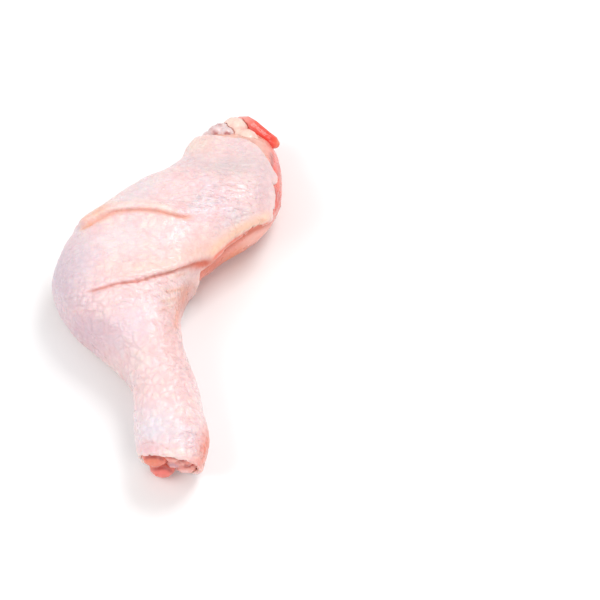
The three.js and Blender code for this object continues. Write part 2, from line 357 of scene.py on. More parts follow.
class Surface:
    """A closed mesh whose points are moved and coloured as arrays."""

    def __init__(self, mesh: bpy.types.Mesh) -> None:
        """Takes the mesh over.

        Args:
            mesh: The mesh, which no object holds any more.
        """
        self.mesh = mesh
        self.points = self._read(mesh.vertices, "co", 3) / MM
        ends = np.empty(len(mesh.edges) * 2, dtype=np.int64)
        mesh.edges.foreach_get("vertices", ends)
        self._ends = ends.reshape(-1, 2)
        self._valence = np.bincount(self._ends.ravel(), minlength=len(self.points))

    @classmethod
    def remeshed(cls, nodes: Iterable[bpy.types.Object], voxel: float) -> Surface:
        """One closed surface of even small faces round copies of some nodes.

        Args:
            nodes: The nodes to copy.
            voxel: The size of the faces.

        Returns:
            The surface.
        """
        shape = bmesh.new()
        for node in nodes:
            shape.from_mesh(node.data)
        bmesh.ops.remove_doubles(shape, verts=shape.verts, dist=0.001 * MM)
        mesh = bpy.data.meshes.new("copy")
        shape.to_mesh(mesh)
        shape.free()
        holder = bpy.data.objects.new("copy", mesh)
        remesh = holder.modifiers.new("remesh", "REMESH")
        remesh.mode = "VOXEL"
        remesh.voxel_size = voxel * MM
        return cls(cls._applied(holder))

    @staticmethod
    def _applied(holder: bpy.types.Object) -> bpy.types.Mesh:
        """The mesh of an object with its modifiers applied. The object is removed.

        Args:
            holder: The object, not yet in the scene.

        Returns:
            The mesh.
        """
        bpy.context.scene.collection.objects.link(holder)
        graph = bpy.context.evaluated_depsgraph_get()
        mesh = bpy.data.meshes.new_from_object(holder.evaluated_get(graph))
        bpy.data.objects.remove(holder)
        return mesh

    @staticmethod
    def _read(items: bpy.types.bpy_prop_collection, name: str, size: int) -> Array:
        """One vector value of all items as an array.

        Args:
            items: A mesh's points or their normals.
            name: The value's name.
            size: How many numbers the value has.

        Returns:
            The values, one a row.
        """
        values = np.empty(len(items) * size, dtype=np.float32)
        items.foreach_get(name, values)
        return values.reshape(-1, size).astype(float)

    def normals(self) -> Array:
        """The direction out of the surface at each point."""
        self._write()
        return self._read(self.mesh.vertex_normals, "vector", 3)

    def _write(self) -> None:
        """Puts the points into the mesh."""
        self.mesh.vertices.foreach_set("co", (self.points * MM).astype(np.float32).ravel())
        self.mesh.update()

    def spread(self, values: Array, rounds: int = 1) -> Array:
        """Values averaged with their neighbours' some times over.

        Args:
            values: One value a point, or one row of them.
            rounds: How many times.

        Returns:
            The averaged values, in the same form.
        """
        start, end = self._ends.T
        size = len(self.points)
        flat = values.ndim == 1
        values = values[:, None] if flat else values
        for _ in range(rounds):
            sums = [
                np.bincount(start, column[end], size) + np.bincount(end, column[start], size)
                for column in values.T
            ]
            values = 0.5 * values + 0.5 * np.column_stack(sums) / self._valence[:, None]
        return values[:, 0] if flat else values

    def relax(self, rounds: int) -> None:
        """Smooths facets away without shrinking the surface.

        Args:
            rounds: How many times.
        """
        for _ in range(rounds):
            self.points = self.spread(self.points)
            self.points = self.points - UNSHRINK * (self.spread(self.points) - self.points)

    def distances_to(self, chosen: Array) -> Array:
        """How far each point is from the nearest of some chosen points.

        Args:
            chosen: True for the chosen points.

        Returns:
            The distances.
        """
        places = np.flatnonzero(chosen)
        tree = KDTree(len(places))
        for index in places.tolist():
            tree.insert(self.points[index], index)
        tree.balance()
        return np.array([tree.find(point)[2] for point in self.points.tolist()])

    def distances(self, tree: BVHTree) -> Array:
        """How far each point is from another surface."""
        return np.array([tree.find_nearest(point)[3] for point in (self.points * MM).tolist()]) / MM

    def tree(self) -> BVHTree:
        """The surface for finding near points on it, in metres.

        Returns:
            The search tree.
        """
        self._write()
        shape = bmesh.new()
        shape.from_mesh(self.mesh)
        tree = BVHTree.FromBMesh(shape)
        shape.free()
        return tree

    def store(self, name: str, values: Array) -> None:
        """Keeps a value or a colour at each point for the material.

        Args:
            name: The name that the material reads.
            values: One value or one colour a point.
        """
        if values.ndim == 1:
            layer = self.mesh.attributes.new(name, "FLOAT", "POINT")
            layer.data.foreach_set("value", values.astype(np.float32))
            return
        layer = self.mesh.color_attributes.new(name, "FLOAT_COLOR", "POINT")
        filled = np.column_stack([values, np.ones(len(values))]).astype(np.float32)
        layer.data.foreach_set("color", filled.ravel())

    def thin(self, hidden: Array, keep: float) -> None:
        """Makes the hidden part of the mesh coarse.

        Args:
            hidden: 1 where a point is hidden, and 0 where it shows.
            keep: The share of the hidden faces that stays.
        """
        self._write()
        holder = bpy.data.objects.new("thin", self.mesh)
        group = holder.vertex_groups.new(name="hidden")
        group.add(np.flatnonzero(hidden > 0.5).tolist(), 1.0, "REPLACE")
        decimate = holder.modifiers.new("thin", "DECIMATE")
        decimate.vertex_group = "hidden"
        decimate.ratio = float(1.0 - (1.0 - keep) * np.mean(hidden > 0.5))
        self.mesh = self._applied(holder)

    def piece(self, name: str, material: bpy.types.Material) -> bpy.types.Object:
        """The surface as a shaded object of the scene.

        Args:
            name: The piece's name.
            material: Its only material.

        Returns:
            The piece.
        """
        self.mesh.name = name
        self.mesh.materials.clear()
        self.mesh.materials.append(material)
        self.mesh.shade_smooth()
        piece = bpy.data.objects.new(name, self.mesh)
        bpy.context.scene.collection.objects.link(piece)
        return piece


@dataclass(frozen=True)
class Grain:
    """A layer of fine relief in a material."""

    size: float
    height: float


class Tree:
    """A material's nodes."""

    def __init__(self, material: bpy.types.Material) -> None:
        """Takes the nodes over.

        Args:
            material: A new material with nodes.
        """
        self.nodes = material.node_tree.nodes
        self.links = material.node_tree.links
        self.shader = self.nodes["Principled BSDF"]
        self.place = self.nodes.new("ShaderNodeTexCoord").outputs["Object"]

    def join(self, value: bpy.types.NodeSocket, name: str) -> None:
        """Leads a value to the shader."""
        self.links.new(value, self.shader.inputs[name])

    def stored(self, name: str) -> bpy.types.Node:
        """The node that reads what the piece's points carry."""
        node = self.nodes.new("ShaderNodeAttribute")
        node.attribute_name = name
        return node

    def noise(self, size: float, detail: float) -> bpy.types.NodeSocket:
        """Noise from 0 to 1.

        Args:
            size: The size of its swells.
            detail: How many finer layers it has.

        Returns:
            The noise.
        """
        node = self.nodes.new("ShaderNodeTexNoise")
        node.inputs["Scale"].default_value = 1.0 / (size * MM)
        node.inputs["Detail"].default_value = detail
        self.links.new(self.place, node.inputs["Vector"])
        return node.outputs["Fac"]

    def stretched(
        self, value: bpy.types.NodeSocket, given: tuple[float, float], wanted: tuple[float, float]
    ) -> bpy.types.NodeSocket:
        """A value led from one range to another.

        Args:
            value: The value.
            given: The range that it fills.
            wanted: The range to fill.

        Returns:
            The new value.
        """
        node = self.nodes.new("ShaderNodeMapRange")
        node.inputs["From Min"].default_value = given[0]
        node.inputs["From Max"].default_value = given[1]
        node.inputs["To Min"].default_value = wanted[0]
        node.inputs["To Max"].default_value = wanted[1]
        self.links.new(value, node.inputs["Value"])
        return node.outputs["Result"]

    def bump(
        self, height: bpy.types.NodeSocket, distance: float, below: bpy.types.NodeSocket | None
    ) -> bpy.types.Node:
        """Relief on top of other relief.

        Args:
            height: The relief, from 0 to 1.
            distance: How high 1 stands.
            below: The relief that it lies on, or None.

        Returns:
            The node, with the relief as its normal.
        """
        node = self.nodes.new("ShaderNodeBump")
        node.inputs["Strength"].default_value = 1.0
        node.inputs["Distance"].default_value = distance * MM
        self.links.new(height, node.inputs["Height"])
        if below:
            self.links.new(below, node.inputs["Normal"])
        return node


@dataclass(frozen=True)
class Finish:
    """How a wet raw surface takes light."""

    slot: Slot
    roughness: tuple[float, float]
    depth: float  # how far light travels below the surface
    scatter: float  # the share of the light that does
    coat: float
    grains: tuple[Grain, ...]
    mottle: float = 0.06
    mottle_size: float = 2.5
    gloss_size: float = 6.0
    crepe: float = 0.0  # the height of fine wrinkles, where the piece has them
    crepe_size: tuple[float, float, float] = (3.6, 1.3, 2.0)  # along a wrinkle, across it and in depth
    crepe_turn: float = 20.0  # degrees
    radius: Color = (1.0, 0.45, 0.3)

    def material(self) -> bpy.types.Material:
        """The finish as a material that reads the piece's tint.

        Returns:
            The material.
        """
        material = bpy.data.materials.new(self.slot.value)
        material.use_nodes = True
        tree = Tree(material)
        tree.join(self._mottled(tree), "Base Color")
        gloss = tree.noise(self.gloss_size, COARSE)
        tree.join(tree.stretched(gloss, (0.35, 0.65), self.roughness), "Roughness")
        tree.join(self._relief(tree), "Normal")
        inputs = tree.shader.inputs
        inputs["Subsurface Weight"].default_value = self.scatter
        inputs["Subsurface Scale"].default_value = self.depth * MM
        inputs["Subsurface Radius"].default_value = self.radius
        inputs["IOR"].default_value = 1.42
        inputs["Coat Weight"].default_value = self.coat
        inputs["Coat Roughness"].default_value = 0.12
        return material

    def _mottled(self, tree: Tree) -> bpy.types.NodeSocket:
        """The piece's tint, a little darker and lighter in turn.

        Args:
            tree: The material's nodes.

        Returns:
            The colour.
        """
        speckle = tree.noise(self.mottle_size, FINE)
        shade = tree.stretched(speckle, (0.3, 0.7), (1.0 - self.mottle, 1.0 + self.mottle / 2))
        mix = tree.nodes.new("ShaderNodeMix")
        mix.data_type = "RGBA"
        mix.blend_type = "MULTIPLY"
        mix.inputs[0].default_value = 1.0
        tree.links.new(tree.stored(TINT).outputs["Color"], mix.inputs[6])
        tree.links.new(shade, mix.inputs[7])
        return mix.outputs[2]

    def _relief(self, tree: Tree) -> bpy.types.NodeSocket:
        """The grains, one on top of the other, and the fine wrinkles.

        Args:
            tree: The material's nodes.

        Returns:
            The relief as a normal.
        """
        below = None
        for grain in self.grains:
            bump = tree.bump(tree.noise(grain.size, FINE), grain.height, below)
            below = bump.outputs["Normal"]
        if not self.crepe:
            return below
        bump = tree.bump(self._ridges(tree), self.crepe, below)
        bump.invert = True
        tree.links.new(tree.stored(CREPE).outputs["Fac"], bump.inputs["Strength"])
        return bump.outputs["Normal"]

    def _ridges(self, tree: Tree) -> bpy.types.NodeSocket:
        """Fine ridges that run mostly across the leg.

        Args:
            tree: The material's nodes.

        Returns:
            The ridges, from 0 to 1.
        """
        stretch = tree.nodes.new("ShaderNodeMapping")
        stretch.inputs["Rotation"].default_value = (0.0, 0.0, math.radians(self.crepe_turn))
        stretch.inputs["Scale"].default_value = tuple(1.0 / (size * MM) for size in self.crepe_size)
        tree.links.new(tree.place, stretch.inputs["Vector"])
        ridges = tree.nodes.new("ShaderNodeTexNoise")
        ridges.noise_type = "RIDGED_MULTIFRACTAL"
        ridges.inputs["Scale"].default_value = 1.0
        ridges.inputs["Detail"].default_value = COARSE
        ridges.inputs["Distortion"].default_value = 0.8
        tree.links.new(stretch.outputs["Vector"], ridges.inputs["Vector"])
        return ridges.outputs["Fac"]


@dataclass
class Part(ABC):
    """One piece of the leg, made from a copy of its node."""

    node: str
    finish: Finish
    voxel: float
    rounds: int
    base: Color
    creases: tuple[Crease, ...] = ()
    patches: tuple[Patch, ...] = ()

    @abstractmethod
    def height(self, surface: Surface, pixels: Array) -> Array:
        """How far each point moves outward, apart from the creases.

        Args:
            surface: The piece's surface.
            pixels: Where the camera sees its points.

        Returns:
            One distance a point.
        """

    @abstractmethod
    def colors(self, surface: Surface) -> Array:
        """The colour of each point before patches and creases.

        Args:
            surface: The piece's surface.

        Returns:
            One colour a point.
        """

    @abstractmethod
    def build(self, nodes: dict[str, bpy.types.Object]) -> bpy.types.Object:
        """Makes the piece and has it stand for its node.

        Args:
            nodes: The model's nodes by name.

        Returns:
            The piece.
        """

    def dress(self, surface: Surface, weight: Array) -> None:
        """Gives the surface its relief and its colours.

        Args:
            surface: The surface.
            weight: How much of the relief each point takes.
        """
        normals = surface.normals()
        pixels = VIEW.pixels(surface.points)
        towards = VIEW.facing(surface.points, normals)
        facing = ramp(towards, 0.0, 0.3)
        in_view = ramp(towards, -0.3, 0.0)
        height = self.height(surface, pixels)
        colors = self.colors(surface)
        for patch in self.patches:
            colors = blend(colors, patch.color, in_view * patch.strength_at(pixels))
        for crease in self.creases:
            added, stain = crease.parts(pixels)
            height = height + facing * added
            if crease.stain:
                colors = blend(colors, crease.stain, facing * stain)
        surface.points = surface.points + normals * (height * weight)[:, None]
        surface.store(TINT, colors)

    def place(self, surface: Surface) -> bpy.types.Object:
        """Puts the surface into the scene as the piece that stands for the node.

        Args:
            surface: The dressed surface.

        Returns:
            The piece.
        """
        piece = surface.piece(f"{self.node}_dressed", self.finish.material())
        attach(piece, "root")
        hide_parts(self.node)
        LOG.info("%s: %d faces", piece.name, len(piece.data.polygons))
        return piece


CREAM = seen(252, 233, 224)
ROSE = seen(248, 205, 204)
TILE_EDGE = seen(240, 198, 202)
# cream of the fat along the cut edge, also used as painted highlight along the thigh fold's top
FAT_CREAM_AND_HIGHLIGHT = seen(254, 222, 211)
ORANGE = seen(240, 170, 130)
RUST = seen(214, 96, 62)
LAVENDER = seen(226, 211, 221)
CORAL = seen(242, 138, 116)
PEACH = seen(252, 202, 184)
APRICOT = seen(248, 180, 162)
BLUSH = seen(246, 128, 104)
LIP = seen(255, 208, 182)
# painted shade: a dark red laid into slits, gaps and hollows
DARK = seen(176, 70, 66)
MAUVE = seen(196, 150, 164)


# Where the skin is finely wrinkled: over the thigh, behind the knee, down the drumstick and at the hock.
WRINKLED = (
    Area((224, 196), (46, 24), 0.9),
    Area((170, 290), (40, 14), 0.6, -8),
    Area((176, 340), (14, 60), 0.7, -12),
    Area((196, 440), (16, 24), 0.6),
)


@dataclass
class Skin(Part):
    """The skin: a shell round the flesh, cut away at the hip, on the thigh's inner side and at the hock."""

    tile: float = 4.4  # a patch of skin round a feather follicle
    tile_height: float = 0.4
    wrinkle: float = 6.0
    wrinkle_depth: float = 0.3
    bulge: float = 12.0
    bulge_height: float = 0.4
    edge_width: float = 2.2
    edge_height: float = 0.45
    edge_lump: float = 4.5
    warp: float = 1.8  # how far the patterns are shifted about
    warp_size: float = 9.0
    leg_voxel: float = 0.9
    kept_inside: float = 0.12  # the share of the faces that stays where the skin lies on the flesh
    showing: Array = field(init=False, repr=False)  # 1 where the skin shows, 0 where it lies on the flesh
    edge: Array = field(init=False, repr=False)  # how far each point is from the cut edge

    def build(self, nodes: dict[str, bpy.types.Object]) -> bpy.types.Object:
        """Makes the skin, fine where it shows and coarse where it lies on the flesh.

        Args:
            nodes: The model's nodes by name.

        Returns:
            The piece.
        """
        outside = Surface.remeshed(nodes.values(), self.leg_voxel).tree()
        surface = Surface.remeshed([nodes[self.node]], self.voxel)
        buried = surface.distances(outside)
        self.showing = surface.spread(1.0 - ramp(buried, 0.5, 1.3), 3)
        self.edge = surface.distances_to(np.abs(self.showing - 0.5) < 0.25)
        surface.relax(self.rounds)
        self.dress(surface, self.showing)
        surface.thin(1.0 - ramp(self.showing, 0.0, 0.1), self.kept_inside)
        return self.place(surface)

    def warped(self, points: Array) -> Array:
        """The points shifted about, so that patterns laid out by them look grown."""
        shifts = [waves(points, self.warp_size, seed) for seed in WARPS]
        return points + self.warp * np.column_stack(shifts)

    def height(self, surface: Surface, pixels: Array) -> Array:
        """Tiles round the feather follicles, small wrinkles, soft unevenness and a lumpy cut edge.

        Args:
            surface: The skin's surface.
            pixels: Where the camera sees its points.

        Returns:
            How far each point moves outward.
        """
        points = surface.points
        warped = self.warped(points)
        tiles = ramp(walls(warped, self.tile, Seed.TILES), 0.0, 0.35) - 0.6
        drumstick = ramp(-points[:, 1], -5.0, 25.0)
        rough = np.clip(sum(area.strength_at(pixels) for area in WRINKLED), 0.0, 1.0)
        surface.store(CREPE, (0.25 + 0.75 * rough) * ramp(points[:, 2], 0.5, 4.0))
        ridges = 1.0 - np.abs(waves(warped, self.wrinkle, Seed.WRINKLES))
        finer = 1.0 - np.abs(waves(warped, self.wrinkle * 0.55, Seed.FINER_WRINKLES))
        height = self.tile_height * tiles * (0.35 + 0.65 * drumstick)
        height -= self.wrinkle_depth * ridges**6 * (0.45 + 0.4 * rough)
        height -= self.wrinkle_depth * finer**5 * (0.2 + 0.6 * rough)
        height += self.bulge_height * waves(points, self.bulge, Seed.BULGES)
        lumps = 1.0 + 1.4 * waves(points, self.edge_lump, Seed.EDGE_LUMPS)
        height += bell(self.edge, self.edge_width) * self.edge_height * lumps
        return height * ramp(points[:, 2], 0.5, 4.0)

    def colors(self, surface: Surface) -> Array:
        """Pale pink, mottled with cream, rose and lavender, and cream fat along the cut edge.

        Args:
            surface: The skin's surface.

        Returns:
            One colour a point.
        """
        points = surface.points
        colors = np.tile(np.array(self.base), (len(points), 1))
        colors = blend(colors, CREAM, 0.6 * ramp(waves(points, 13.0, Seed.CREAM), 0.0, 0.5))
        colors = blend(colors, LAVENDER, 0.5 * ramp(waves(points, 17.0, Seed.LAVENDER), 0.0, 0.5))
        colors = blend(colors, ROSE, 0.6 * ramp(waves(points, 5.0, Seed.ROSE), 0.05, 0.5))
        wall = walls(self.warped(points), self.tile, Seed.TILES)
        colors = blend(colors, TILE_EDGE, 0.5 * (1.0 - ramp(wall, 0.0, 0.28)))
        return blend(colors, FAT_CREAM_AND_HIGHLIGHT, 0.85 * bell(self.edge, 1.6) + 1.0 - ramp(self.showing, 0.2, 0.8))


@dataclass
class Meat(Part):
    """A piece of flesh, fat, bone or sinew with soft lumps in its surface."""

    lump: float = 0.3
    lump_size: float = 5.0
    second: Color = ROSE
    second_strength: float = 0.4
    swell: float = 0.0  # how much the piece swells to meet its neighbours
    beneath: tuple[str, ...] = ()  # nodes that the piece runs on beneath, so that no gap shows there
    sink: float = 0.9  # how far below their surface it does

    def build(self, nodes: dict[str, bpy.types.Object]) -> bpy.types.Object:
        """Makes the piece, which also runs on beneath some other nodes.

        Args:
            nodes: The model's nodes by name.

        Returns:
            The piece.
        """
        own = nodes[self.node]
        surface = Surface.remeshed([own, *(nodes[name] for name in self.beneath)], self.voxel)
        apart = surface.distances(Surface.remeshed([own], self.voxel).tree())
        sunk = ramp(apart, 0.4, 1.2)
        surface.relax(self.rounds)
        surface.points = surface.points - surface.normals() * (self.sink * sunk)[:, None]
        self.dress(surface, 1.0 - sunk)
        return self.place(surface)

    def height(self, surface: Surface, pixels: Array) -> Array:
        """Soft lumps.

        Args:
            surface: The surface.
            pixels: Where the camera sees its points, which the lumps have no use for.

        Returns:
            How far each point moves outward.
        """
        points = surface.points
        rough = waves(points, self.lump_size, Seed.LUMPS)
        rough += 0.5 * waves(points, self.lump_size / 2, Seed.SMALL_LUMPS)
        return (self.swell + self.lump * rough) * ramp(points[:, 2], 0.3, 3.0)

    def colors(self, surface: Surface) -> Array:
        """The base colour, mottled with the second.

        Args:
            surface: The surface.

        Returns:
            One colour a point.
        """
        colors = np.tile(np.array(self.base), (len(surface.points), 1))
        mottle = ramp(waves(surface.points, self.lump_size, Seed.SECOND_COLOR), -0.1, 0.5)
        return blend(colors, self.second, self.second_strength * mottle)


@dataclass(frozen=True)
class Lamp:
    """A large soft lamp aimed at the leg."""

    name: str
    at: tuple[float, float, float]
    size: float
    watts: float

    def build(self) -> bpy.types.Object:
        """The lamp as an object of the scene.

        Returns:
            The lamp.
        """
        data = bpy.data.lights.new(self.name, "AREA")
        data.size = self.size * MM
        data.energy = self.watts
        lamp = bpy.data.objects.new(self.name, data)
        bpy.context.scene.collection.objects.link(lamp)
        lamp.location = Vector(self.at) * MM
        lamp.rotation_euler = (-Vector(self.at)).to_track_quat("-Z", "Y").to_euler()
        return lamp


@dataclass
class Studio:
    """The floor, the lights and the camera."""

    sky: float = 0.59
    floor_white: float = 0.86
    floor_roughness: float = 0.7
    floor_reach: float = 4000.0
    lamps: tuple[Lamp, ...] = (
        Lamp("key", (380.0, 320.0, 850.0), 450.0, 4.6),
        Lamp("fill", (-650.0, -250.0, 650.0), 700.0, 4.2),
        Lamp("front", (500.0, -600.0, 420.0), 600.0, 2.4),
    )

    def build(self) -> None:
        """Sets up what the leg lies on and is lit by."""
        bpy.context.scene.view_settings.view_transform = "Standard"
        VIEW.camera()
        self.floor()
        self.light()

    def floor(self) -> bpy.types.Object:
        """A wide pale floor.

        Returns:
            The floor.
        """
        shape = bmesh.new()
        bmesh.ops.create_grid(shape, x_segments=1, y_segments=1, size=self.floor_reach * MM)
        mesh = bpy.data.meshes.new("floor")
        shape.to_mesh(mesh)
        shape.free()
        material = bpy.data.materials.new("floor")
        material.use_nodes = True
        shader = material.node_tree.nodes["Principled BSDF"]
        shader.inputs["Base Color"].default_value = (*[self.floor_white] * 3, 1.0)
        shader.inputs["Roughness"].default_value = self.floor_roughness
        mesh.materials.append(material)
        floor = bpy.data.objects.new("floor", mesh)
        bpy.context.scene.collection.objects.link(floor)
        return floor

    def light(self) -> None:
        """Even pale light from all round, and the lamps."""
        world = bpy.data.worlds.new("studio")
        world.use_nodes = True
        background = world.node_tree.nodes["Background"]
        background.inputs["Color"].default_value = (1.0, 1.0, 1.0, 1.0)
        background.inputs["Strength"].default_value = self.sky
        bpy.context.scene.world = world
        for lamp in self.lamps:
            lamp.build()


# The fold across the thigh, with its lip and its end at the outer side; its stains are painted shade.
THIGH_FOLD_CREASES = (
    # painted shade: an apricot line in the groove under the lip
    Crease(
        ((80, 228), (90, 224), (100, 219), (108, 215), (115, 212), (122, 211), (135, 210), (147, 210),
         (157, 211), (165, 213), (173, 215), (181, 217), (190, 217), (198, 215)),
        depth=0.4, width=1.5, lip=0.5, lip_width=4.5,
        stain=APRICOT, stain_strength=0.95, stain_width=2.6, ends=0.1,
    ),
    # painted shade: peach on the lip's shaded side at the fold's outer end
    Crease(((76, 226), (84, 220), (93, 213), (103, 207), (114, 203)), depth=-0.6, width=3.5, lip=0.0,
           stain=PEACH, stain_strength=0.5, stain_width=4.0),
    # painted shade: an orange line in the groove's outer end
    Crease(((78, 231), (86, 227), (94, 222)), depth=0.5, width=1.4, stain=ORANGE, stain_strength=0.6),
)

# The rolled edge of the skin along the thigh's inner side, and the line below it.
ROLLED_EDGE_CREASES = (
    # the edge's own cream-peach, lightened as painted light where it turns away from the lamps
    Crease(((205, 258), (215, 249), (226, 239), (240, 229), (252, 223), (264, 217), (273, 212)),
           depth=-1.0, width=4.2, lip=0.0, stain=LIP, stain_strength=0.9, stain_width=4.4, ends=0.12),
    Crease(((210, 262), (222, 250), (236, 239), (250, 230), (262, 225), (272, 220)), depth=0.3,
           stain=BLUSH, stain_strength=0.95, stain_width=2.2, ends=0.1),
)

# Painted highlight: a pale raised band along the top of the fold across the thigh.
THIGH_FOLD_TOP_CREASES = (
    Crease(((100, 209), (118, 204), (140, 203), (160, 206), (182, 211)), depth=-0.15, width=3.0, lip=0.0,
           stain=FAT_CREAM_AND_HIGHLIGHT, stain_strength=0.6, stain_width=3.0),
)

# The fold that hangs over the bent knee's inner side, with a red-brown line of painted shade under its lip.
KNEE_FOLD_CREASES = (
    Crease(
        ((80, 294), (90, 291), (102, 288), (112, 285), (122, 283), (132, 282), (142, 280), (152, 277),
         (160, 275), (168, 273), (177, 270), (187, 267), (195, 264), (203, 262), (212, 260)),
        depth=0.5, width=1.2, lip=0.3, lip_width=4.0,
        stain=RUST, stain_strength=0.7, stain_width=1.4, ends=0.12,
    ),
)

# Below that fold, and on the knee beside it.
BEHIND_KNEE_CREASES = (
    Crease(((118, 298), (128, 296), (138, 294), (148, 292), (158, 290)), stain=ROSE, stain_strength=0.5),
    Crease(((163, 293), (172, 291), (181, 289), (190, 287)), stain=ORANGE, stain_strength=0.5),
    Crease(((150, 286), (160, 283), (170, 282), (178, 280)), stain=ROSE, stain_strength=0.4),
    Crease(((172, 277), (180, 275), (188, 273)), stain=ORANGE, stain_strength=0.4),
    Crease(((95, 301), (110, 300), (124, 302), (136, 301))),
    Crease(((66, 312), (80, 311), (95, 313)), stain=ROSE, stain_strength=0.5),
    Crease(((62, 300), (72, 297), (84, 297))),
    Crease(((72, 284), (84, 282), (97, 281))),
    Crease(((69, 277), (80, 274), (92, 272))),
    Crease(((160, 303), (170, 300), (180, 297)), stain=ORANGE, stain_strength=0.4),
    Crease(((158, 312), (168, 308), (176, 307)), stain=ORANGE, stain_strength=0.3),
)

# Down the drumstick's inner side.
DRUMSTICK_CREASES = (
    # reddish skin, with painted shadow where the next leg lies against it
    Crease(((190, 284), (184, 298), (178, 311), (176, 323), (175, 336)), depth=0.5,
           stain=APRICOT, stain_strength=0.8, stain_width=3.0),
    Crease(((150, 316), (156, 324), (160, 333), (161, 344)), stain=ROSE, stain_strength=0.6),
    Crease(((166, 312), (164, 322), (167, 332)), stain=ROSE, stain_strength=0.5),
    Crease(((172, 338), (176, 349), (177, 360)), stain=ROSE, stain_strength=0.5),
    Crease(((163, 346), (168, 355), (171, 366)), stain=ROSE, stain_strength=0.5),
    Crease(((178, 360), (175, 368), (170, 376))),
    Crease(((183, 360), (188, 369), (191, 380)), stain=ROSE, stain_strength=0.5),
    Crease(((170, 389), (177, 385), (183, 380))),
    Crease(((156, 352), (158, 362), (163, 372))),
    Crease(((186, 385), (190, 394), (196, 402)), stain=ROSE, stain_strength=0.5),
)

# At the hock.
HOCK_CREASES = (
    Crease(((156, 441), (163, 445), (170, 450), (178, 456)), depth=0.8, lip=0.4,
           stain=ROSE, stain_strength=0.6),
    Crease(((140, 444), (148, 442), (157, 443)), depth=0.5, stain=ROSE, stain_strength=0.6),
    Crease(((184, 447), (191, 448), (199, 446)), depth=0.5, stain=ROSE, stain_strength=0.5),
    Crease(((192, 441), (199, 440), (207, 441)), depth=0.5, stain=ROSE, stain_strength=0.5),
    Crease(((189, 455), (197, 455), (206, 453)), depth=0.5, stain=ROSE, stain_strength=0.5),
    Crease(((194, 434), (201, 433), (208, 434)), depth=0.4),
    Crease(((186, 462), (194, 463), (202, 462)), depth=0.4, stain=ROSE, stain_strength=0.4),
)

# Over the thigh.
THIGH_CREASES = (
    Crease(((186, 190), (192, 186), (198, 184))),
    Crease(((186, 192), (192, 194), (198, 192))),
    Crease(((199, 185), (207, 187), (214, 184))),
    Crease(((195, 196), (205, 194), (214, 197))),
    Crease(((189, 204), (198, 204), (206, 202))),
    Crease(((203, 199), (212, 202), (220, 206), (230, 208)), depth=0.5),
    Crease(((208, 190), (216, 194), (224, 199), (232, 205)), depth=0.5),
    Crease(((222, 187), (229, 192), (237, 196))),
    Crease(((229, 196), (236, 201), (243, 203), (251, 207)), depth=0.5),
    Crease(((240, 191), (246, 196), (251, 203))),
    Crease(((248, 183), (250, 193), (250, 203))),
    Crease(((256, 185), (257, 195), (256, 206))),
    Crease(((228, 213), (238, 210), (249, 212))),
    Crease(((205, 213), (216, 215), (229, 217))),
    Crease(((231, 220), (240, 217), (251, 215))),
    Crease(((110, 201), (125, 200), (142, 202), (160, 204)), depth=0.2, lip=0.2),
)

SKIN = Skin(
    node="skin",
    finish=Finish(
        slot=Slot.SKIN,
        roughness=(0.26, 0.44),
        depth=2.2,
        scatter=0.5,
        coat=0.28,
        grains=(Grain(1.5, 0.2), Grain(0.7, 0.14)),
        crepe=1.3,
    ),
    voxel=0.68,
    rounds=14,
    base=seen(250, 221, 220),
    creases=(
        *THIGH_FOLD_CREASES,
        *ROLLED_EDGE_CREASES,
        *THIGH_FOLD_TOP_CREASES,
        *KNEE_FOLD_CREASES,
        *BEHIND_KNEE_CREASES,
        *DRUMSTICK_CREASES,
        *HOCK_CREASES,
        *THIGH_CREASES,
    ),
    patches=(
        Patch((118, 240), (32, 14), seen(243, 231, 231), 0.6, -10),  # top of the thigh
        Patch((132, 324), (22, 20), seen(240, 218, 226), 0.65),  # calf
        Patch((140, 190), (26, 10), seen(238, 224, 228), 0.7, -28),  # outer side of the thigh
        Patch((80, 262), (16, 28), seen(228, 212, 221), 0.7),  # knee, with painted lavender-grey shade on its left side
        Patch((56, 278), (22, 60), seen(214, 194, 206), 0.9),  # knee's far side, in darker painted shade
        Patch((86, 332), (34, 26), seen(220, 188, 199), 0.85, 45),  # front of the shin, in painted shade on its left side
        Patch((150, 428), (24, 20), seen(238, 228, 235), 0.8),  # above the hock
        Patch((149, 449), (13, 6), seen(246, 200, 203), 0.85),  # skin at the hock's cut
        Patch((235, 165), (40, 12), seen(222, 202, 203), 0.8),  # below the hip
        Patch((262, 182), (10, 26), seen(226, 196, 200), 0.7),  # beside the cut edge
        Patch((205, 250), (44, 13), seen(253, 206, 194), 0.8, -14),  # above the knee fold
        Patch((150, 266), (40, 7), seen(254, 217, 205), 0.7, -10),  # the knee fold's lip
        Patch((206, 448), (7, 23), CORAL, 0.95, 10),  # inner side of the hock
        Patch((196, 463), (10, 5), CORAL, 0.6),  # below the tendons
        Patch((203, 264), (15, 4.5), RUST, 0.95, -16),  # painted shade deep in the bend, under the fold's overhang
        Patch((184, 300), (7, 20), seen(214, 126, 104), 0.85, 20),  # inner side of the bend: reddish skin and painted shadow of the next leg
        Patch((98, 210), (16, 6), seen(238, 190, 160), 0.8, -30),  # painted shade on the lip's shaded side at the thigh fold's outer end
        Patch((172, 345), (14, 42), seen(246, 202, 200), 0.8, -10),  # inner side of the calf
        Patch((195, 145), (18, 10), seen(252, 217, 202), 0.7),  # hip
        Patch((250, 224), (26, 6), seen(254, 222, 208), 0.7, -20),  # painted highlight on the lip above the rolled edge
    ),
)

